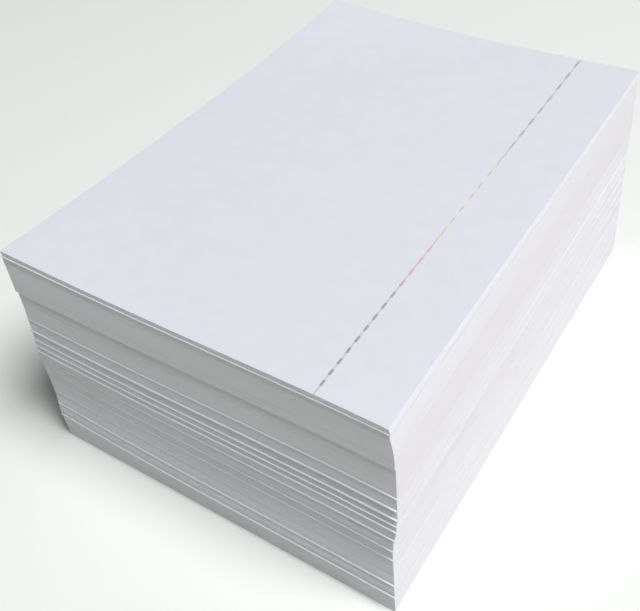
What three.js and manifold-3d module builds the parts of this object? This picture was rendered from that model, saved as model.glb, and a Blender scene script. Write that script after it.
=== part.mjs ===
// A pile of A4 security paper: one thousand sheets standing 130 mm high on a flat base.
// The sheets lie in lifts. Between the lifts, thin bundles have slipped out of line.
// The uppermost sheet holds a holographic thread that shows through a row of windows.
//
// Frame, in millimetres: origin at the centre of the base, +X to the right,
// +Y along the sheets toward the back edge, +Z up.

import * as THREE from 'three';
import { mergeVertices } from 'three/addons/utils/BufferGeometryUtils.js';
import Module from 'manifold-3d';

const wasm = await Module();
wasm.setup();

// Sheet size: A4, with the thickness of one sheet
const SHEET_WIDTH = 210;
const SHEET_LENGTH = 297;
const SHEET_CALIPER = 0.13;

// Air left between one lift and the next
const LIFT_GAP = 0.13;

// Tilt of the pile's top: rise of the right edge and of the back edge over the centre
const TOP_RISE_RIGHT = -1.0;
const TOP_RISE_BACK = 2.2;

// Lean of the pile: how far some of the sheets, counted from the base, lie to the right and
// to the back, and how far they are turned, in degrees. Between them the lean changes evenly.
const LEAN = [
  { sheet: 0, right: 0.4, back: -0.2, turn: -0.54 },
  { sheet: 123, right: 0.6, back: -1.2, turn: -0.43 },
  { sheet: 231, right: -0.3, back: 0.7, turn: -0.5 },
  { sheet: 369, right: -0.3, back: 0.2, turn: -0.42 },
  { sheet: 438, right: 0.0, back: -0.3, turn: -0.26 },
  { sheet: 500, right: 0.6, back: -0.5, turn: 0.06 },
  { sheet: 592, right: 0.3, back: 0.7, turn: 0.15 },
  { sheet: 692, right: -0.1, back: 1.4, turn: 0.15 },
  { sheet: 815, right: -0.3, back: 1.7, turn: 0.15 },
  { sheet: 831, right: -0.1, back: 0.6, turn: 0.22 },
  { sheet: 900, right: -0.4, back: 0.6, turn: 0.16 },
  { sheet: 946, right: -1.0, back: 0.8, turn: -0.04 },
  { sheet: 1000, right: -1.4, back: 0.9, turn: -0.16 },
];

// Lifts from the base up, each with its number of sheets. Where a bundle has slipped on top
// of the lift, its slip to the right, to the back and in turn is given too.
const LIFTS = [
  { sheets: 54 },
  { sheets: 51, slip: { right: 0.05, back: -0.55, turn: -0.02 } },
  { sheets: 61, slip: { right: 0.05, back: -0.6, turn: -0.02 } },
  { sheets: 69, slip: { right: 0, back: -0.45, turn: 0.1 } },
  { sheets: 76, slip: { right: 0.05, back: -0.45, turn: -0.08 } },
  { sheets: 52, slip: { right: 0.05, back: -0.5, turn: -0.08 } },
  { sheets: 67, slip: { right: 0.1, back: -0.5, turn: -0.09 } },
  { sheets: 43, slip: { right: 0.1, back: -0.55, turn: -0.05 } },
  { sheets: 24, slip: { right: 0.05, back: -0.6, turn: -0.05 } },
  { sheets: 27, slip: { right: 0.25, back: -0.65, turn: -0.07 } },
  { sheets: 40, slip: { right: 0.05, back: -0.8, turn: -0.02 } },
  { sheets: 54, slip: { right: 0.05, back: -0.6, turn: -0.02 } },
  { sheets: 73 },
  { sheets: 69 },
  { sheets: 81 },
  { sheets: 42 },
  { sheets: 36, slip: { right: 0.05, back: -0.45, turn: 0.03 } },
  { sheets: 20 },
];

// Sheets in one slipped bundle
const BUNDLE_SHEETS = 5;

// Raised and drooping corners: which corner, how far its bend reaches,
// and how far up it lifts some of the sheets, counted from the base
const CORNERS = [
  {
    side: -1,
    end: -1,
    reach: 80,
    rise: [
      { sheet: 0, up: 0 },
      { sheet: 100, up: 4.0 },
      { sheet: 177, up: 3.8 },
      { sheet: 385, up: 2.6 },
      { sheet: 1000, up: 2.5 },
    ],
  },
  {
    side: 1,
    end: -1,
    reach: 40,
    rise: [
      { sheet: 0, up: 0 },
      { sheet: 177, up: -0.8 },
      { sheet: 615, up: -2.0 },
      { sheet: 1000, up: -1.2 },
    ],
  },
  {
    side: -1,
    end: 1,
    reach: 99,
    rise: [
      { sheet: 0, up: 0 },
      { sheet: 1000, up: 6.0 },
    ],
  },
  {
    side: 1,
    end: 1,
    reach: 87,
    rise: [
      { sheet: 0, up: 0 },
      { sheet: 577, up: 2.0 },
      { sheet: 1000, up: 1.1 },
    ],
  },
];

// Holographic thread: width, thickness, distance from the right edge and slant over the sheet's length
const THREAD_WIDTH = 1.2;
const THREAD_THICKNESS = 0.03;
const THREAD_INSET = 34.3;
const THREAD_SLANT = -0.0085;

// Tunnel in the sheet: clearance beside and above the thread, and paper left over it
const TUNNEL_SIDE_GAP = 0.15;
const TUNNEL_FACE_GAP = 0.01;
const TUNNEL_COVER = 0.04;

// Windows that open the tunnel to the top: first one, spacing at the front edge,
// growth of the spacing toward the back, share of the spacing that is open, extra width
const WINDOW_FIRST = 5;
const WINDOW_PITCH_FRONT = 6.1;
const WINDOW_PITCH_GROWTH = 0.033;
const WINDOW_SHARE = 0.5;
const WINDOW_EXTRA_WIDTH = 0.1;

// Lines across the sheet where its surface may bend, as shares of half its width or length
const BENDS_ACROSS = [-1, -0.81, -0.57, -0.24, 0.29, 0.62, 0.82, 1];
const BENDS_ALONG = [-1, -0.86, -0.67, -0.37, 0.2, 0.57, 0.81, 1];

const HALF_WIDTH = SHEET_WIDTH / 2;
const HALF_LENGTH = SHEET_LENGTH / 2;
const SHEETS_BELOW_TOP = LIFTS.reduce((sum, lift) => sum + lift.sheets + (lift.slip ? BUNDLE_SHEETS : 0), 0);
const PILE_HEIGHT = (SHEETS_BELOW_TOP + 1) * SHEET_CALIPER;

const PAPER = { color: new THREE.Color().setStyle('#e4e8ee'), roughness: 0.85, metalness: 0 };
const FOIL = { color: new THREE.Color().setStyle('#9a94a6'), roughness: 0.25, metalness: 0.9 };

// Value at one level of a quantity that changes evenly between the listed sheets
function atLevel(list, key, level) {
  const sheet = level / SHEET_CALIPER;
  const next = list.findIndex((entry) => entry.sheet >= sheet);
  if (next === 0) return list[0][key];
  if (next < 0) return list[list.length - 1][key];
  const below = list[next - 1];
  const above = list[next];
  const share = (sheet - below.sheet) / (above.sheet - below.sheet);
  return below[key] * (1 - share) + above[key] * share;
}

// Height of the surface that lies at the given level, at the point x, y
function surfaceHeight(x, y, level) {
  const share = level / PILE_HEIGHT;
  let z = level + share * (TOP_RISE_RIGHT * x / HALF_WIDTH + TOP_RISE_BACK * y / HALF_LENGTH);
  for (const corner of CORNERS) {
    const away = Math.abs(x - corner.side * HALF_WIDTH) + Math.abs(y - corner.end * HALF_LENGTH);
    const near = Math.max(0, 1 - away / Math.SQRT2 / corner.reach);
    z += atLevel(corner.rise, 'up', level) * near * near;
  }
  return z;
}

// Shift and turn of the sheets at a level, with the slip of a bundle added
function placeAt(level, slip = { right: 0, back: 0, turn: 0 }) {
  return {
    right: atLevel(LEAN, 'right', level) + slip.right,
    back: atLevel(LEAN, 'back', level) + slip.back,
    turn: atLevel(LEAN, 'turn', level) + slip.turn,
  };
}

// Where a point of a sheet comes to lie once the sheet is shifted and turned
function placed(x, y, place) {
  const angle = THREE.MathUtils.degToRad(place.turn);
  return [
    x * Math.cos(angle) - y * Math.sin(angle) + place.right,
    x * Math.sin(angle) + y * Math.cos(angle) + place.back,
  ];
}

// A box split at the bend lines. Both its faces are split along the same diagonals,
// so they stay parallel once they are bent.
function splitBox(columns, rows) {
  const box = new THREE.BoxGeometry(2, 2, 2, columns, rows, 1);
  const underside = box.groups[5];
  for (let i = underside.start; i < underside.start + underside.count; i += 6) {
    const [a, b, d, c] = [0, 1, 2, 4].map((k) => box.index.getX(i + k));
    [a, b, c, a, c, d].forEach((vertex, k) => box.index.setX(i + k, vertex));
  }
  return box;
}

// Bends a split box: each corner of the grid is sent where the given function says
function bentSlab(across, along, point) {
  const box = splitBox(across.length - 1, along.length - 1);
  const position = box.attributes.position;
  for (let i = 0; i < position.count; i += 1) {
    const column = Math.round((position.getX(i) + 1) / 2 * (across.length - 1));
    const row = Math.round((position.getY(i) + 1) / 2 * (along.length - 1));
    position.setXYZ(i, ...point(across[column], along[row], position.getZ(i) > 0));
  }
  box.computeVertexNormals();
  return box;
}

// A run of flush sheets between two levels
function liftGeometry(bottom, top, place) {
  const across = BENDS_ACROSS.map((share) => share * HALF_WIDTH);
  const along = BENDS_ALONG.map((share) => share * HALF_LENGTH);
  return bentSlab(across, along, (u, v, upper) => {
    const [x, y] = placed(u, v, place);
    return [x, y, upper ? surfaceHeight(x, y, top) - LIFT_GAP : surfaceHeight(x, y, bottom)];
  });
}

// Middle of the thread at the point v along the sheet, measured across the sheet
function threadAcross(v) {
  return HALF_WIDTH - THREAD_INSET + THREAD_SLANT * v;
}

const TUNNEL_WIDTH = THREAD_WIDTH + 2 * TUNNEL_SIDE_GAP;
const TUNNEL_HEIGHT = THREAD_THICKNESS + 2 * TUNNEL_FACE_GAP;
const TOP_LEVEL = PILE_HEIGHT - SHEET_CALIPER;
const TOP_SHEET_PLACE = placeAt(PILE_HEIGHT);

// Height of the uppermost sheet's underside
function undersideOfTopSheet(x, y) {
  return surfaceHeight(x, y, TOP_LEVEL);
}

// Height of the bent underside along the thread, which runs straight between the bend lines
function undersideAtThread(v) {
  const along = BENDS_ALONG.map((share) => share * HALF_LENGTH);
  const height = (w) => undersideOfTopSheet(...placed(threadAcross(w), w, TOP_SHEET_PLACE));
  let i = 1;
  while (i < along.length - 1 && v > along[i]) i += 1;
  const part = (v - along[i - 1]) / (along[i] - along[i - 1]);
  return height(along[i - 1]) * (1 - part) + height(along[i]) * part;
}

// A strip that follows the thread's line between two heights over the sheet's underside
function threadStrip(width, start, end, low, high) {
  const inner = BENDS_ALONG.map((share) => share * HALF_LENGTH).filter((v) => v > start && v < end);
  return bentSlab([-width / 2, width / 2], [start, ...inner, end], (u, v, upper) => {
    const [x, y] = placed(threadAcross(v) + u, v, TOP_SHEET_PLACE);
    const clamped = Math.max(-HALF_LENGTH, Math.min(HALF_LENGTH, v));
    return [x, y, undersideAtThread(clamped) + (upper ? high : low)];
  });
}

// Closed geometry to a solid for joining and cutting, and back
function toSolid(geometry) {
  const bare = geometry.clone();
  bare.deleteAttribute('normal');
  bare.deleteAttribute('uv');
  const merged = mergeVertices(bare, 1e-4);
  return new wasm.Manifold(new wasm.Mesh({
    numProp: 3,
    vertProperties: Float32Array.from(merged.attributes.position.array),
    triVerts: Uint32Array.from(merged.index.array),
  }));
}

function toGeometry(solid) {
  const mesh = solid.getMesh();
  const geometry = new THREE.BufferGeometry();
  geometry.setAttribute('position', new THREE.BufferAttribute(mesh.vertProperties, 3));
  geometry.setIndex(new THREE.BufferAttribute(mesh.triVerts, 1));
  geometry.computeVertexNormals();
  return geometry;
}

// The uppermost sheet: bent like the pile, hollowed by the tunnel and opened by the windows
function topSheetGeometry() {
  const across = [...BENDS_ACROSS.map((share) => share * HALF_WIDTH), 'left of tunnel', 'right of tunnel'];
  const middle = HALF_WIDTH - THREAD_INSET;
  const column = (value) => {
    if (value === 'left of tunnel') return middle - TUNNEL_WIDTH / 2;
    if (value === 'right of tunnel') return middle + TUNNEL_WIDTH / 2;
    return value;
  };
  across.sort((one, other) => column(one) - column(other));
  const along = BENDS_ALONG.map((share) => share * HALF_LENGTH);
  const sheet = bentSlab(across, along, (value, v, upper) => {
    const slanted = typeof value === 'string' ? THREAD_SLANT * v : 0;
    const [x, y] = placed(column(value) + slanted, v, TOP_SHEET_PLACE);
    return [x, y, undersideOfTopSheet(x, y) + (upper ? SHEET_CALIPER : 0)];
  });

  const tunnelTop = SHEET_CALIPER - TUNNEL_COVER;
  const tunnelBottom = tunnelTop - TUNNEL_HEIGHT;
  const over = 1;
  let solid = toSolid(sheet);
  solid = solid.subtract(toSolid(threadStrip(
    TUNNEL_WIDTH, -HALF_LENGTH - over, HALF_LENGTH + over, tunnelBottom, tunnelTop)));

  const windowFloor = (tunnelTop + tunnelBottom) / 2;
  let start = -HALF_LENGTH + WINDOW_FIRST;
  for (;;) {
    const pitch = WINDOW_PITCH_FRONT + WINDOW_PITCH_GROWTH * (start + HALF_LENGTH);
    const end = start + pitch * WINDOW_SHARE;
    if (end > HALF_LENGTH - 1) break;
    solid = solid.subtract(toSolid(threadStrip(
      TUNNEL_WIDTH + WINDOW_EXTRA_WIDTH, start, end, windowFloor, SHEET_CALIPER + over)));
    start += pitch;
  }
  return toGeometry(solid);
}

// The thread lies in the tunnel from the front edge to the back edge
function threadGeometry() {
  const low = SHEET_CALIPER - TUNNEL_COVER - TUNNEL_FACE_GAP - THREAD_THICKNESS;
  return threadStrip(THREAD_WIDTH, -HALF_LENGTH, HALF_LENGTH, low, low + THREAD_THICKNESS);
}

function addMesh(group, name, geometry, look) {
  const mesh = new THREE.Mesh(geometry, new THREE.MeshStandardMaterial(look));
  mesh.name = name;
  group.add(mesh);
}

const pile = new THREE.Group();
pile.name = 'security_paper';

// Lifts and bundles, one on the other
let sheetsBelow = 0;
function addRun(name, sheets, slip) {
  const bottom = sheetsBelow * SHEET_CALIPER;
  const top = (sheetsBelow + sheets) * SHEET_CALIPER;
  const place = placeAt((bottom + top) / 2, slip);
  addMesh(pile, name, liftGeometry(bottom, top, place), PAPER);
  sheetsBelow += sheets;
}

let bundleCount = 0;
LIFTS.forEach((lift, index) => {
  addRun(`lift_${String(index + 1).padStart(2, '0')}`, lift.sheets);
  if (!lift.slip) return;
  bundleCount += 1;
  addRun(`slipped_bundle_${String(bundleCount).padStart(2, '0')}`, BUNDLE_SHEETS, lift.slip);
});

addMesh(pile, 'top_sheet', topSheetGeometry(), PAPER);
addMesh(pile, 'security_thread', threadGeometry(), FOIL);

export default pile;
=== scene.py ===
# %% [markdown]
# # A pile of security paper
#
# The object is a pile of about a thousand A4 sheets, 130 mm high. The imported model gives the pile
# as lifts, which are runs of flush sheets, and as thin slipped bundles, an uppermost sheet and its
# thread. This lesson keeps those places, turns every lift into its single sheets, and then gives
# paper and foil their finishes. Lengths in Blender are metres, so a value that is named in
# millimetres goes through MM.

# %% Load the frame
import math

import bmesh
import bpy
import numpy as np
from mathutils import Euler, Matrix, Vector


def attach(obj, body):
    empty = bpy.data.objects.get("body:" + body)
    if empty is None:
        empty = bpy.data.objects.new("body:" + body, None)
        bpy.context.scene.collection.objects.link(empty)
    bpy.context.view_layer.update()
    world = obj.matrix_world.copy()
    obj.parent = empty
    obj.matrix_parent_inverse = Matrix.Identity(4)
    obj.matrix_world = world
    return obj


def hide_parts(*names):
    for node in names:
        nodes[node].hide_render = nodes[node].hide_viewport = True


MM = 0.001

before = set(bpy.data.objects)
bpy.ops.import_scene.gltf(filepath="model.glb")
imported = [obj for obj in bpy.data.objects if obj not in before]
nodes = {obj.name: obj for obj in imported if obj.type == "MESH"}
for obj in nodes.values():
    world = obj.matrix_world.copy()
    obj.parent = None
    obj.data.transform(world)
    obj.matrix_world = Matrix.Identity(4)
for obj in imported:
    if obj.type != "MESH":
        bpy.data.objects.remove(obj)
bpy.context.view_layer.update()

# %% [markdown]
# ## The camera
#
# The camera stands before the right front corner and looks down on the pile. A camera is turned
# easily by hand, but three plain angles say better what it does: first the heading round the
# vertical, then the tilt, then a small roll. The shift moves the frame over the picture plane
# without turning the camera, so the perspective stays as it is.

# %% Place the camera
CAMERA_PLACE_MM = (212.7, -326.7, 380.7)
CAMERA_HEADING_DEG = 33.83
CAMERA_TILT_DEG = 38.56
CAMERA_ROLL_DEG = -3.94
CAMERA_LENS_MM = 49.21
CAMERA_SHIFT = (-0.05, -0.0945)

camera_data = bpy.data.cameras.new("camera")
camera_data.lens = CAMERA_LENS_MM
camera_data.sensor_width = 36
camera_data.shift_x, camera_data.shift_y = CAMERA_SHIFT
camera = bpy.data.objects.new("camera", camera_data)
bpy.context.collection.objects.link(camera)
camera.location = Vector(CAMERA_PLACE_MM) * MM
heading = Euler((0, 0, math.radians(CAMERA_HEADING_DEG))).to_matrix()
tilt = Euler((math.radians(90 - CAMERA_TILT_DEG), 0, 0)).to_matrix()
roll = Euler((0, 0, math.radians(CAMERA_ROLL_DEG))).to_matrix()
camera.rotation_euler = (heading @ tilt @ roll).to_euler()
bpy.context.scene.camera = camera
print("camera at", [round(v, 3) for v in camera.location])

# %% [markdown]
# ## Small helpers for materials
#
# Colours are noted as hex values, the way a paint program shows them, and Blender wants linear
# light. One function turns the one into the other. A second one adds a shader node with its
# settings and links in one call, which keeps the recipes below short.

# %% Colour and node helpers
def linear(hex_colour):
    """An sRGB hex colour as linear red, green, blue and alpha."""
    channels = [int(hex_colour[i:i + 2], 16) / 255 for i in (1, 3, 5)]
    curve = [c / 12.92 if c <= 0.04045 else ((c + 0.055) / 1.055) ** 2.4 for c in channels]
    return (*curve, 1.0)


def add_node(owner, kind, settings=None, **inputs):
    """Adds a node. An input is named by its socket, or by its place as i0, i1 and so on."""
    node = owner.node_tree.nodes.new(kind)
    for name, value in (settings or {}).items():
        setattr(node, name, value)
    for name, value in inputs.items():
        by_place = name[0] == "i" and name[1:].isdigit()
        socket = node.inputs[int(name[1:]) if by_place else name.replace("_", " ")]
        if isinstance(value, bpy.types.NodeSocket):
            owner.node_tree.links.new(value, socket)
        else:
            socket.default_value = value
    return node


def new_material(name):
    material = bpy.data.materials.new(name)
    material.use_nodes = True
    material.node_tree.nodes.clear()
    return material


def finish_material(material, shader):
    add_node(material, "ShaderNodeOutputMaterial", Surface=shader.outputs[0])


print("white in linear light:", linear("#ffffff"))

# %% [markdown]
# ## How the sheets lie
#
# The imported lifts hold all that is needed: where each run of sheets starts and ends, how it is
# shifted and turned, and how its corners bend. Each lift is a bent box with eight bend lines each
# way, so a merged copy of it has a grid of eight by eight points on its underside and on its top.
# Reading that grid keeps the sheets where the solids are.

# %% Read the grid of a lift
GRID = 8
MERGE_DISTANCE_M = 1e-7


def read_grid(node):
    """The points of a lift's underside and of its top, each as rows from front to back."""
    mesh = bmesh.new()
    mesh.from_mesh(node.data)
    bmesh.ops.remove_doubles(mesh, verts=mesh.verts, dist=MERGE_DISTANCE_M)
    points = sorted((tuple(v.co) for v in mesh.verts), key=lambda p: p[1])
    mesh.free()
    per_row = 2 * GRID
    rows = [sorted(points[i:i + per_row]) for i in range(0, len(points), per_row)]
    grid = np.array(rows).reshape(GRID, GRID, 2, 3)
    order = np.argsort(grid[:, :, :, 2], axis=2)
    grid = np.take_along_axis(grid, order[..., None], axis=2)
    return grid[:, :, 0], grid[:, :, 1]


lift_names = sorted(name for name in nodes if name.startswith("lift_"))
bundle_names = sorted(name for name in nodes if name.startswith("slipped_bundle_"))
solid_grids = {name: read_grid(nodes[name]) for name in lift_names + bundle_names}
print(len(lift_names), "lifts and", len(bundle_names), "bundles read")

# %% [markdown]
# A thousand sheets need only a few bend lines each. Seven lines each way keep the curve of the
# corners to a fifth of a millimetre, so the grids are read again at those lines. They are given
# as shares of half the width and of half the length.

# %% Read the grids at fewer lines
LINES_ACROSS = (-1, -0.81, -0.57, -0.24, 0.29, 0.72, 1)
LINES_ALONG = (-1, -0.77, -0.37, 0.2, 0.57, 0.81, 1)


def at_lines(grid, lines):
    """The grid's rows, read at other places along them."""
    reach = np.linalg.norm(grid[0, :, :2] - grid[0, 0, :2], axis=1)
    own_lines = 2 * reach / reach[-1] - 1
    rows = [[np.interp(lines, own_lines, row[:, axis]) for axis in range(3)] for row in grid]
    return np.array(rows).transpose(0, 2, 1)


def fewer_lines(grid):
    """The grid read at the sheet's own lines, first along its length and then across."""
    along_first = at_lines(grid.transpose(1, 0, 2), LINES_ALONG).transpose(1, 0, 2)
    return at_lines(along_first, LINES_ACROSS)


grids = {name: [fewer_lines(side) for side in sides] for name, sides in solid_grids.items()}
print("rows and columns of points on one side of a sheet:", grids[lift_names[0]][0].shape[:2])

# %% [markdown]
# ## One sheet, many times
#
# A sheet is a thin closed slab. It is made once by operators: a grid for its underside, extruded
# upward into a slab. Its sides get a second material, because a cut edge looks different from the
# smooth faces. Every sheet of a lift is then a copy whose points are moved onto the lift's grid.

# %% The pattern sheet
FACE, EDGE = 0, 1
SHARP_ANGLE = 0.5


def pattern_sheet(columns, rows):
    """A slab two units wide, two long and one high, with its points in columns and rows."""
    mesh = bmesh.new()
    bmesh.ops.create_grid(mesh, x_segments=columns - 1, y_segments=rows - 1, size=1)
    underside = list(mesh.faces)
    top = bmesh.ops.extrude_face_region(mesh, geom=underside, use_keep_orig=True)["geom"]
    raised = [part for part in top if isinstance(part, bmesh.types.BMVert)]
    bmesh.ops.translate(mesh, verts=raised, vec=(0, 0, 1))
    bmesh.ops.recalc_face_normals(mesh, faces=mesh.faces)
    mesh.normal_update()
    for face in mesh.faces:
        lies_flat = abs(face.normal.z) > 0.5
        face.material_index = FACE if lies_flat else EDGE
        face.smooth = lies_flat
    for edge in mesh.edges:
        edge.smooth = edge.calc_face_angle() < SHARP_ANGLE
    pattern = bpy.data.meshes.new("pattern_sheet")
    mesh.to_mesh(pattern)
    mesh.free()
    return pattern


coarse_pattern = pattern_sheet(len(LINES_ACROSS), len(LINES_ALONG))
print("pattern sheet:", len(coarse_pattern.polygons), "faces")

# %% [markdown]
# A pile is never quite flush. Small groups of sheets lie some hundredths of a millimetre out of
# line, more so in the lower half, and single sheets a little less. Steps of this size make the
# fine lines on the front. The right side was knocked square, so the steps there are a quarter of
# that. The random numbers have a fixed seed, so each run gives the same pile.

# %% Lay the sheets of one lift
SHEET_CALIPER_MM = 0.13
SHEET_SOLID_SHARE = 0.96
GROUP_SLIP_MM = 0.02
LOWER_GROUP_SLIP_MM = 0.06
SINGLE_SLIP_MM = 0.012
SLIP_SHARES = (0.25, 1.0)
GROUP_SHEETS = (3, 18)

chance = np.random.default_rng(20)


def sheet_slips(count, group_slip=GROUP_SLIP_MM):
    """Shift of each sheet to the right and to the back, in metres."""
    slips = []
    while len(slips) < count:
        group = chance.normal(0, group_slip, 2) * SLIP_SHARES
        for _ in range(int(chance.integers(*GROUP_SHEETS))):
            slips.append((group + chance.normal(0, SINGLE_SLIP_MM, 2)) * MM)
    return np.array(slips[:count])


def lay_sheet(mesh, pattern, low, high, tone):
    """Adds one sheet to the mesh, with its underside and top on two grids of points."""
    first_vert = len(mesh.verts)
    first_face = len(mesh.faces)
    mesh.from_mesh(pattern)
    mesh.verts.ensure_lookup_table()
    mesh.faces.ensure_lookup_table()
    rows, columns = low.shape[:2]
    for vert in mesh.verts[first_vert:]:
        column = round((vert.co.x + 1) / 2 * (columns - 1))
        row = round((vert.co.y + 1) / 2 * (rows - 1))
        vert.co = high[row, column] if vert.co.z > 0.5 else low[row, column]
    layer = mesh.faces.layers.float["sheet_tone"]
    for face in mesh.faces[first_face:]:
        face[layer] = tone


def new_piece(name, mesh, materials, slot, *replaced):
    """Makes a finished piece of the mesh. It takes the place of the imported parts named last."""
    data = bpy.data.meshes.new(name)
    mesh.to_mesh(data)
    mesh.free()
    for material in materials:
        data.materials.append(material)
    piece = bpy.data.objects.new(name, data)
    bpy.context.collection.objects.link(piece)
    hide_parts(*replaced)
    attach(piece, "root")
    return piece


print("slips of five sheets in mm:", (sheet_slips(5) / MM).round(2).tolist())

# %% [markdown]
# ## Paper and its cut edge
#
# Security paper is uncoated wove paper: cotton fibres pressed into a matt sheet. To the eye that
# gives a slightly bluish white with a very faint cloudiness, in soft patches of about a
# centimetre, and a fibre texture that is drawn a little coarser than it is, so that it shows.
# The edge is cut by guillotine. It shows the felted inside of the sheet, which is more neutral in
# colour and quite matt, and each sheet's edge has a tone of its own.

# %% Uncoated wove paper
CLOUD_MM = 9
FIBRE_MM = 0.7
FIBRE_HEIGHT_MM = 0.02
FACE_DARK, FACE_LIGHT = "#dce3e9", "#dfe6ec"


def paper_shader(material):
    """The place, the clouded colour and the fibre bump of a paper face."""
    place = add_node(material, "ShaderNodeTexCoord").outputs["Object"]
    clouds = add_node(material, "ShaderNodeTexNoise", Vector=place,
                      Scale=1 / (CLOUD_MM * MM), Detail=3.0)
    fibres = add_node(material, "ShaderNodeTexNoise", Vector=place,
                      Scale=1 / (FIBRE_MM * MM), Detail=4.0)
    both = add_node(material, "ShaderNodeMath", {"operation": "MULTIPLY_ADD"},
                    i0=fibres.outputs["Fac"], i1=0.4, i2=clouds.outputs["Fac"])
    spread = add_node(material, "ShaderNodeMapRange", Value=both.outputs[0],
                      From_Min=0.45, From_Max=0.95)
    colour = add_node(material, "ShaderNodeMix", {"data_type": "RGBA"},
                      i0=spread.outputs[0], i6=linear(FACE_DARK), i7=linear(FACE_LIGHT)).outputs[2]
    bump = add_node(material, "ShaderNodeBump", Height=fibres.outputs["Fac"], Strength=0.25,
                    Distance=FIBRE_HEIGHT_MM * MM)
    return place, colour, bump.outputs[0]


face_paper = new_material("uncoated_wove_paper")
_, colour, bump = paper_shader(face_paper)
finish_material(face_paper, add_node(face_paper, "ShaderNodeBsdfPrincipled", Base_Color=colour,
                                     Roughness=0.85, IOR=1.45, Normal=bump))

edge_paper = new_material("guillotine_cut_paper_edge")
place = add_node(edge_paper, "ShaderNodeTexCoord").outputs["Object"]
# Each sheet's tone differs at random; on slipped bundles it is also raised as painted light.
tone = add_node(edge_paper, "ShaderNodeAttribute", {"attribute_name": "sheet_tone"})
cut_marks = add_node(edge_paper, "ShaderNodeTexNoise", Vector=place,
                     Scale=1 / (FIBRE_MM * MM), Detail=3.0)
toned = add_node(edge_paper, "ShaderNodeMix", {"data_type": "RGBA", "blend_type": "MULTIPLY"},
                 i0=1.0, i6=linear("#f1eff1"), i7=tone.outputs["Color"])
bump = add_node(edge_paper, "ShaderNodeBump", Height=cut_marks.outputs["Fac"], Strength=0.2,
                Distance=FIBRE_HEIGHT_MM * MM).outputs[0]
finish_material(edge_paper, add_node(edge_paper, "ShaderNodeBsdfPrincipled", Base_Color=toned.outputs[2],
                                     Roughness=0.95, IOR=1.45, Normal=bump))
print("paper materials:", face_paper.name, edge_paper.name)

# %% [markdown]
# ## The lifts, sheet by sheet
#
# Each lift's height divided by the thickness of a sheet gives the number of its sheets, and one
# more fills the air that the solids keep between them. The lean of the pile changes smoothly, so
# the lower half of a lift leans toward the lift below it and the upper half toward the lift above.
# Only one step is sharp: the block of sheets over it has been set down a millimetre
# forward, and it throws a dark line. The edges of a slipped bundle, which stands free, are painted a
# little lighter: painted light for the light their ledges catch.

# %% Lay all lifts but the uppermost
SHARP_STEP_OVER = "lift_14"
LOWER_LIFTS = lift_names[:10]
# The slipped bundles' edges are painted lighter than the lifts': painted light on their ledges.
BUNDLE_PAINTED_LIGHT_TONE = 0.93
LIFT_TONE = 0.89
TONE_SPREAD = 0.03


def lay_lift(name, below=None, above=None):
    """Makes a piece of the lift's sheets and gives back their number."""
    low, high = grids[name]
    count = round(float(np.median((high - low)[..., 2])) / (SHEET_CALIPER_MM * MM)) + 1
    slips = sheet_slips(count, LOWER_GROUP_SLIP_MM if name in LOWER_LIFTS else GROUP_SLIP_MM)
    mesh = bmesh.new()
    mesh.faces.layers.float.new("sheet_tone")
    for k in range(count):
        middle = (k + 0.5) / count
        base = low + (high - low) * (k / (count - 1))
        top = low + (high - low) * ((k + SHEET_SOLID_SHARE) / (count - 1))
        neighbour, pull = (below, 0.5 - middle) if middle < 0.5 else (above, middle - 0.5)
        if neighbour is not None:
            lean = (grids[neighbour][0] - low)[..., :2] * pull
            base[..., :2] += lean
            top[..., :2] += lean
        base[..., :2] += slips[k]
        top[..., :2] += slips[k]
        tone = BUNDLE_PAINTED_LIGHT_TONE if name in bundle_names else LIFT_TONE
        lay_sheet(mesh, coarse_pattern, base, top, tone - TONE_SPREAD * float(chance.random()))
    new_piece(name + "_sheets", mesh, [face_paper, edge_paper], "paper", name)
    return count


total = 0
lower_lifts_and_none = [None, *lift_names[:-1], None]
for below, name, above in zip(lower_lifts_and_none, lift_names[:-1], lower_lifts_and_none[2:]):
    below = None if below == SHARP_STEP_OVER else below
    above = None if name == SHARP_STEP_OVER else above
    total += lay_lift(name, below, above)
for name in bundle_names:
    total += lay_lift(name)
print("sheets laid:", total)

# %% [markdown]
# ## The top of the pile
#
# The light lies flat on the uppermost sheet, so its bends must be smooth. The twenty sheets of the
# last lift and the sheet on them follow the same curved surface as the solids do, but on a grid
# fine enough to hide its facets: an even tilt, and at each corner a bend that grows with the
# square of the nearness to the corner.

# %% Surface of the top
SHEET_WIDTH_MM = 210
SHEET_LENGTH_MM = 297
PILE_HEIGHT_MM = 130
TOP_RISE_RIGHT_MM = -1.0
TOP_RISE_BACK_MM = 2.2
CORNER_RISES_MM = {(-1, -1): (2.5, 80), (1, -1): (-1.2, 40), (-1, 1): (6.0, 99), (1, 1): (1.1, 87)}
TOP_SHEET_SHIFT_MM = (-1.4, 0.9)
TOP_SHEET_TURN_DEG = -0.16


def top_height(x, y, depth):
    """Height in mm of the surface that lies the given depth under the pile's top."""
    half_width, half_length = SHEET_WIDTH_MM / 2, SHEET_LENGTH_MM / 2
    tilt = TOP_RISE_RIGHT_MM * x / half_width + TOP_RISE_BACK_MM * y / half_length
    z = PILE_HEIGHT_MM - depth + tilt
    for (side, end), (rise, reach) in CORNER_RISES_MM.items():
        away = (np.abs(x - side * half_width) + np.abs(y - end * half_length)) / math.sqrt(2)
        z = z + rise * np.maximum(0, 1 - away / reach) ** 2
    return z


def top_grid(u, v, depth, shift, turn_deg):
    """Points of a sheet near the top, for its own lines u across and v along, in metres."""
    across, along = np.meshgrid(u, v) if np.ndim(u) == 1 else (u, v)
    angle = math.radians(turn_deg)
    x = across * math.cos(angle) - along * math.sin(angle) + shift[0]
    y = across * math.sin(angle) + along * math.cos(angle) + shift[1]
    return np.stack([x, y, top_height(x, y, depth)], axis=-1) * MM


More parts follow.
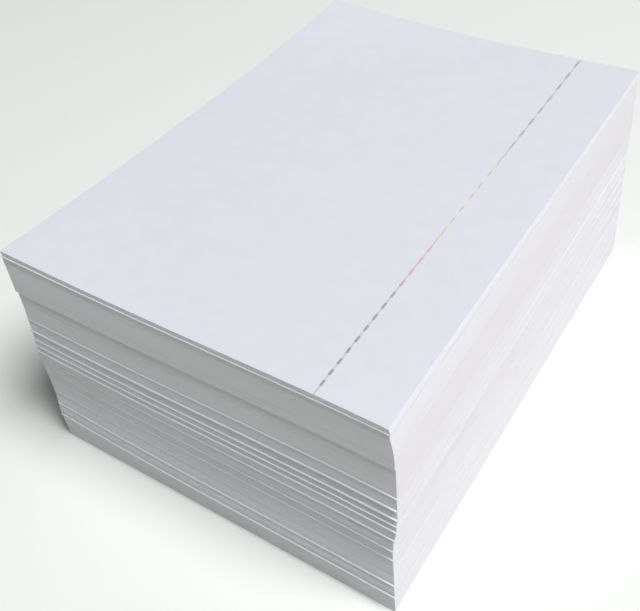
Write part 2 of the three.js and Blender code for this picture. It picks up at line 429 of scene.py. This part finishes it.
corner_heights = [float(top_height(side * SHEET_WIDTH_MM / 2, end * SHEET_LENGTH_MM / 2, 0))
                  for side, end in CORNER_RISES_MM]
print("height at the four corners in mm:", np.round(corner_heights, 1).tolist())

# %% [markdown]
# A guillotine's blade draws the uppermost sheets inward as it bites, so the last lift's right edge
# slopes. It faces up into the light and shows as a bright band under the pile's top edge. Each
# sheet of the last lift therefore lies a little further to the right than the sheet on it.

# %% Lay the last lift on a fine grid
FINE_STEP_MM = 14
BLADE_DRAW_MM = 0.8
LAST_LIFT_SHEETS = 20


def even_lines(length):
    """Places along a length, counted from its middle, about a fine step apart."""
    return np.linspace(-length / 2, length / 2, round(length / FINE_STEP_MM) + 1)


fine_across = even_lines(SHEET_WIDTH_MM)
fine_along = even_lines(SHEET_LENGTH_MM)
fine_pattern = pattern_sheet(len(fine_across), len(fine_along))

last_lift = lift_names[-1]
last_low = grids[last_lift][0]
last_shift = (last_low[0, 0] + last_low[-1, -1])[:2] / 2 / MM
last_edge = last_low[0, -1] - last_low[0, 0]
last_turn = math.degrees(math.atan2(last_edge[1], last_edge[0]))
last_slips = sheet_slips(LAST_LIFT_SHEETS) / MM
mesh = bmesh.new()
mesh.faces.layers.float.new("sheet_tone")
for k in range(LAST_LIFT_SHEETS):
    depth = (LAST_LIFT_SHEETS - k + 1) * SHEET_CALIPER_MM
    shift = last_shift + last_slips[k] + np.array((BLADE_DRAW_MM * (1 - k / LAST_LIFT_SHEETS), 0))
    under = top_grid(fine_across, fine_along, depth, shift, last_turn)
    solid = SHEET_CALIPER_MM * SHEET_SOLID_SHARE
    over = top_grid(fine_across, fine_along, depth - solid, shift, last_turn)
    lay_sheet(mesh, fine_pattern, under, over, LIFT_TONE - TONE_SPREAD * float(chance.random()))
new_piece(last_lift + "_sheets", mesh, [face_paper, edge_paper], "paper", last_lift)
print("last lift: turn", round(last_turn, 2), "mean place", last_shift.round(2).tolist())

# %% [markdown]
# ## The uppermost sheet and its windows
#
# A security thread lies inside the sheet, and the paper is left open over it at short stretches,
# the windows. The sheet is again a grid that is extruded into a slab, but with extra lines beside
# the thread and at both ends of each window. The faces in a window are then pushed down to form
# a shallow pocket, so the slab stays closed and the thread can lie in the pocket's floor.

# %% Windows along the thread
THREAD_INSET_MM = 34.3
THREAD_SLANT = -0.0085
THREAD_WIDTH_MM = 1.2
WINDOW_WIDTH_MM = 1.5
WINDOW_FIRST_MM = 5
WINDOW_PITCH_FRONT_MM = 6.1
WINDOW_PITCH_GROWTH = 0.033
WINDOW_SHARE = 0.5
BACK_MARGIN_MM = 1
POCKET_DEPTH_MM = 0.05


def window_ends():
    """Start and end of each window, counted along the sheet from its middle, in mm."""
    ends = []
    start = WINDOW_FIRST_MM
    while True:
        pitch = WINDOW_PITCH_FRONT_MM + WINDOW_PITCH_GROWTH * start
        end = start + pitch * WINDOW_SHARE
        if end > SHEET_LENGTH_MM - BACK_MARGIN_MM:
            return ends
        ends.append((start - SHEET_LENGTH_MM / 2, end - SHEET_LENGTH_MM / 2))
        start += pitch


def thread_across(v):
    """Place of the thread across the sheet, at the place v along it, in mm."""
    return SHEET_WIDTH_MM / 2 - THREAD_INSET_MM + THREAD_SLANT * v


windows = window_ends()
print(len(windows), "windows, the first", round(windows[0][1] - windows[0][0], 1), "mm long")

# %% Make the uppermost sheet
TOP_STEP_MM = 5
LEAST_SHARE_OF_STEP = 0.3


def with_lines(length, fixed):
    """Evenly spaced lines over a length, with the fixed lines in place of near ones."""
    even = np.linspace(-length / 2, length / 2, round(length / TOP_STEP_MM) + 1)
    least = TOP_STEP_MM * LEAST_SHARE_OF_STEP
    kept = [float(e) for e in even[1:-1] if min(abs(e - f) for f in fixed) > least]
    return np.array(sorted([-length / 2, length / 2, *kept, *fixed]))


middle = thread_across(0)
beside_thread = [middle - WINDOW_WIDTH_MM / 2, middle + WINDOW_WIDTH_MM / 2]
top_across = with_lines(SHEET_WIDTH_MM, beside_thread)
top_along = with_lines(SHEET_LENGTH_MM, [end for window in windows for end in window])
u, v = np.meshgrid(top_across, top_along)
nearness = np.maximum(0, 1 - np.abs(u - middle) / THREAD_INSET_MM)
u = u + nearness * THREAD_SLANT * v
u[:, 0], u[:, -1] = -SHEET_WIDTH_MM / 2, SHEET_WIDTH_MM / 2
under = top_grid(u, v, SHEET_CALIPER_MM, TOP_SHEET_SHIFT_MM, TOP_SHEET_TURN_DEG)
over = top_grid(u, v, 0, TOP_SHEET_SHIFT_MM, TOP_SHEET_TURN_DEG)

mesh = bmesh.new()
mesh.faces.layers.float.new("sheet_tone")
top_pattern = pattern_sheet(len(top_across), len(top_along))
lay_sheet(mesh, top_pattern, under, over, 1.0)

# %% [markdown]
# The faces of a window are found by place: they face up, and all their corners lie in the box
# round the window's own points.

# %% Find the faces in the windows
NEAR_M = 1e-6


def lies_in(face, low_corner, high_corner):
    return all(low_corner[axis] <= vert.co[axis] <= high_corner[axis]
               for vert in face.verts for axis in range(3))


window_column = int(np.argmin(np.abs(top_across - beside_thread[0])))
upper_faces = [face for face in mesh.faces if face.normal.z > 0.5]
window_faces = []
for ends in windows:
    first_row, last_row = (int(np.argmin(np.abs(top_along - end))) for end in ends)
    corners = over[first_row:last_row + 1, window_column:window_column + 2].reshape(-1, 3)
    low_corner, high_corner = corners.min(axis=0) - NEAR_M, corners.max(axis=0) + NEAR_M
    window_faces += [face for face in upper_faces if lies_in(face, low_corner, high_corner)]
print(len(window_faces), "faces lie in windows")

# %% Push the windows down
pockets = bmesh.ops.extrude_face_region(mesh, geom=window_faces)["geom"]
pocket_floor = [part for part in pockets if isinstance(part, bmesh.types.BMVert)]
bmesh.ops.translate(mesh, verts=pocket_floor, vec=(0, 0, -POCKET_DEPTH_MM * MM))
old_faces = [face for face in window_faces if face.is_valid]
bmesh.ops.delete(mesh, geom=old_faces, context="FACES_ONLY")
mesh.normal_update()
for face in mesh.faces:
    if abs(face.normal.z) < 0.5:
        face.smooth = False
for edge in mesh.edges:
    edge.smooth = edge.calc_face_angle(0) < SHARP_ANGLE
print("open edges left:", sum(1 for edge in mesh.edges if not edge.is_manifold))

# %% [markdown]
# The paper over the thread is thin, so the thread shows through it as a fine grey line between
# the windows. The line is drawn in the sheet's own finish: the distance from the thread's middle
# decides how much the paper darkens.

# %% Paper with a thread under it
THREAD_SHADE = "#bfc6d0"
SHADE_STRENGTH = 0.6
SHADE_FULL_TO, SHADE_NONE_FROM = 0.05 * THREAD_WIDTH_MM, 0.5 * THREAD_WIDTH_MM
thread_lean = THREAD_SLANT - math.tan(math.radians(TOP_SHEET_TURN_DEG))
thread_start_mm = middle + TOP_SHEET_SHIFT_MM[0] - thread_lean * TOP_SHEET_SHIFT_MM[1]

top_paper = new_material("uncoated_wove_paper_over_thread")
place, colour, bump = paper_shader(top_paper)
axes = add_node(top_paper, "ShaderNodeSeparateXYZ", Vector=place)
line_at = add_node(top_paper, "ShaderNodeMath", {"operation": "MULTIPLY_ADD"},
                   i0=axes.outputs["Y"], i1=thread_lean, i2=thread_start_mm * MM)
offset = add_node(top_paper, "ShaderNodeMath", {"operation": "SUBTRACT"},
                  i0=axes.outputs["X"], i1=line_at.outputs[0])
distance = add_node(top_paper, "ShaderNodeMath", {"operation": "ABSOLUTE"}, i0=offset.outputs[0])
over_thread = add_node(top_paper, "ShaderNodeMapRange", Value=distance.outputs[0],
                       From_Min=SHADE_FULL_TO * MM, From_Max=SHADE_NONE_FROM * MM,
                       To_Min=SHADE_STRENGTH, To_Max=0.0)
shaded = add_node(top_paper, "ShaderNodeMix", {"data_type": "RGBA", "blend_type": "MULTIPLY"},
                  i0=over_thread.outputs[0], i6=colour, i7=linear(THREAD_SHADE))
finish_material(top_paper, add_node(top_paper, "ShaderNodeBsdfPrincipled", Base_Color=shaded.outputs[2],
                                    Roughness=0.85, IOR=1.45, Normal=bump))
new_piece("top_sheet_paper", mesh, [top_paper, edge_paper], "paper", "top_sheet")
print("finished", top_paper.name)

# %% [markdown]
# ## The holographic thread
#
# The thread is a polyester ribbon, 1.2 mm wide, with an embossed aluminium film on it. Its fine
# grooves split the light, so each stretch shows the colour that it happens to send this way:
# violet grey at the front, then rose, cream and pale gold, and a bluish grey toward the back.
# Real grooves are far too fine to model, so the reflected colours that this light and view give are
# painted into the film's colour along the thread's own length, with small irregular patches where
# the embossing changes. The grooves scatter most of the light, which makes the film look far less
# like a mirror than bare metal, so its metallic value is low.

# %% Embossed aluminium film
# Distance from the front edge in mm, and the painted colour of the reflection there
THREAD_PAINTED_REFLECTION_COLOURS = [
    (0, "#adb2bd"), (62, "#b2b6c3"), (70, "#c9c0ce"), (76, "#fbbdcf"), (98, "#fbc4d2"), (108, "#fbdcd4"),
    (118, "#fff0da"), (130, "#fff8cf"), (165, "#fdf6cf"), (178, "#f0eedb"), (190, "#cfd8d6"),
    (205, "#c4cad3"), (250, "#c2cdca"), (262, "#c0c7d1"), (297, "#bcc4d0"),
]
PATCH_MM = 1.6
PATCH_STRENGTH = 0.1

film = new_material("embossed_aluminium_film")
place = add_node(film, "ShaderNodeTexCoord").outputs["Object"]
along = add_node(film, "ShaderNodeSeparateXYZ", Vector=place).outputs["Y"]
half_length = SHEET_LENGTH_MM / 2 * MM
share = add_node(film, "ShaderNodeMapRange", Value=along, From_Min=-half_length, From_Max=half_length)
# The ramp paints the reflection's colours along the thread's length.
ramp = add_node(film, "ShaderNodeValToRGB", Fac=share.outputs[0])
stops = ramp.color_ramp.elements
stops[0].color = linear(THREAD_PAINTED_REFLECTION_COLOURS[0][1])
stops[1].color = linear(THREAD_PAINTED_REFLECTION_COLOURS[-1][1])
for at_mm, colour in THREAD_PAINTED_REFLECTION_COLOURS[1:-1]:
    stops.new(at_mm / SHEET_LENGTH_MM).color = linear(colour)
patches = add_node(film, "ShaderNodeTexVoronoi", Vector=place, Scale=1 / (PATCH_MM * MM))
changed = add_node(film, "ShaderNodeMix", {"data_type": "RGBA", "blend_type": "OVERLAY"},
                   i0=PATCH_STRENGTH, i6=ramp.outputs["Color"], i7=patches.outputs["Color"])
finish_material(film, add_node(film, "ShaderNodeBsdfPrincipled", Base_Color=changed.outputs[2],
                               Metallic=0.15, Roughness=0.45))

print(len(THREAD_PAINTED_REFLECTION_COLOURS), "colours along the thread")

# %% [markdown]
# The ribbon is a slab again, with a row of points at each line of the sheet, so that it follows
# the sheet's bends and lies just over the floor of the pockets.

# %% Lay the thread
RIBBON_UNDER_MM = POCKET_DEPTH_MM - 0.002
RIBBON_OVER_MM = POCKET_DEPTH_MM - 0.03

u, v = np.meshgrid([-THREAD_WIDTH_MM / 2, THREAD_WIDTH_MM / 2], top_along)
u = u + thread_across(v)
low = top_grid(u, v, RIBBON_UNDER_MM, TOP_SHEET_SHIFT_MM, TOP_SHEET_TURN_DEG)
high = top_grid(u, v, RIBBON_OVER_MM, TOP_SHEET_SHIFT_MM, TOP_SHEET_TURN_DEG)
mesh = bmesh.new()
mesh.faces.layers.float.new("sheet_tone")
lay_sheet(mesh, pattern_sheet(2, len(top_along)), low, high, 1.0)
new_piece("thread_ribbon", mesh, [film, film], "thread_foil", "security_thread")
print("thread length in mm:", round(float(top_along[-1] - top_along[0]), 1))

# %% [markdown]
# ## Floor and light
#
# The pile stands on a plain pale floor. One large soft light stands high on the right and a
# little in front. It lights the top and the right side and only skims the front, which lives on
# what the floor throws back. So the narrow ledges of the slipped bundles shine as light lines,
# helped by the lighter tone painted on their edges as painted light.

# %% Lay the floor
FLOOR_SIZE_M = 6
FLOOR_DROP_M = 0.0001
FLOOR_GLOW = 0.04

mesh = bmesh.new()
bmesh.ops.create_grid(mesh, x_segments=1, y_segments=1, size=FLOOR_SIZE_M / 2)
floor_data = bpy.data.meshes.new("floor")
mesh.to_mesh(floor_data)
mesh.free()
floor = bpy.data.objects.new("floor", floor_data)
floor.location.z = -FLOOR_DROP_M
bpy.context.collection.objects.link(floor)
floor_paint = new_material("pale_studio_floor")
finish_material(floor_paint, add_node(floor_paint, "ShaderNodeBsdfPrincipled",
                                      Base_Color=linear("#ebf2ed"), Roughness=0.9,
                                      Emission_Color=linear("#ffffff"),
                                      Emission_Strength=FLOOR_GLOW))
floor_data.materials.append(floor_paint)
print("floor laid")

# %% [markdown]
# The world gives a weak, slightly green fill, as a room round the table would. Seen directly it
# shows a pale backdrop instead, so that the floor's far edge doesn't stand against the dark.

# %% Set the lights
KEY_DIRECTION = Vector((0.49, -0.055, 0.9)).normalized()
KEY_DISTANCE_M = 6.0
KEY_SIZE_M = 3.0
KEY_POWER_W = 420
KEY_COLOUR = "#fff9fc"
AIM_POINT_M = (0, 0, 0.07)
SKY_COLOUR = "#bfecd0"
SKY_STRENGTH = 0.03
BACKDROP_COLOUR = "#eef0ef"


def soft_light(name, direction, distance, size, power, colour):
    """A round area light that looks at the pile from the given direction."""
    data = bpy.data.lights.new(name, "AREA")
    data.shape = "DISK"
    data.size = size
    data.energy = power
    data.color = linear(colour)[:3]
    light = bpy.data.objects.new(name, data)
    light.location = Vector(AIM_POINT_M) + direction * distance
    light.rotation_euler = direction.to_track_quat("Z", "Y").to_euler()
    bpy.context.collection.objects.link(light)
    return light


soft_light("key_light", KEY_DIRECTION, KEY_DISTANCE_M, KEY_SIZE_M, KEY_POWER_W, KEY_COLOUR)
world = bpy.data.worlds.new("studio")
world.use_nodes = True
world.node_tree.nodes.clear()
fill = add_node(world, "ShaderNodeBackground", Color=linear(SKY_COLOUR), Strength=SKY_STRENGTH)
backdrop = add_node(world, "ShaderNodeBackground", Color=linear(BACKDROP_COLOUR), Strength=1.0)
seen = add_node(world, "ShaderNodeLightPath").outputs["Is Camera Ray"]
sky = add_node(world, "ShaderNodeMixShader", i0=seen, i1=fill.outputs[0],
               i2=backdrop.outputs[0])
add_node(world, "ShaderNodeOutputWorld", Surface=sky.outputs[0])
bpy.context.scene.world = world
bpy.context.scene.view_settings.view_transform = "Standard"
print("lights set")
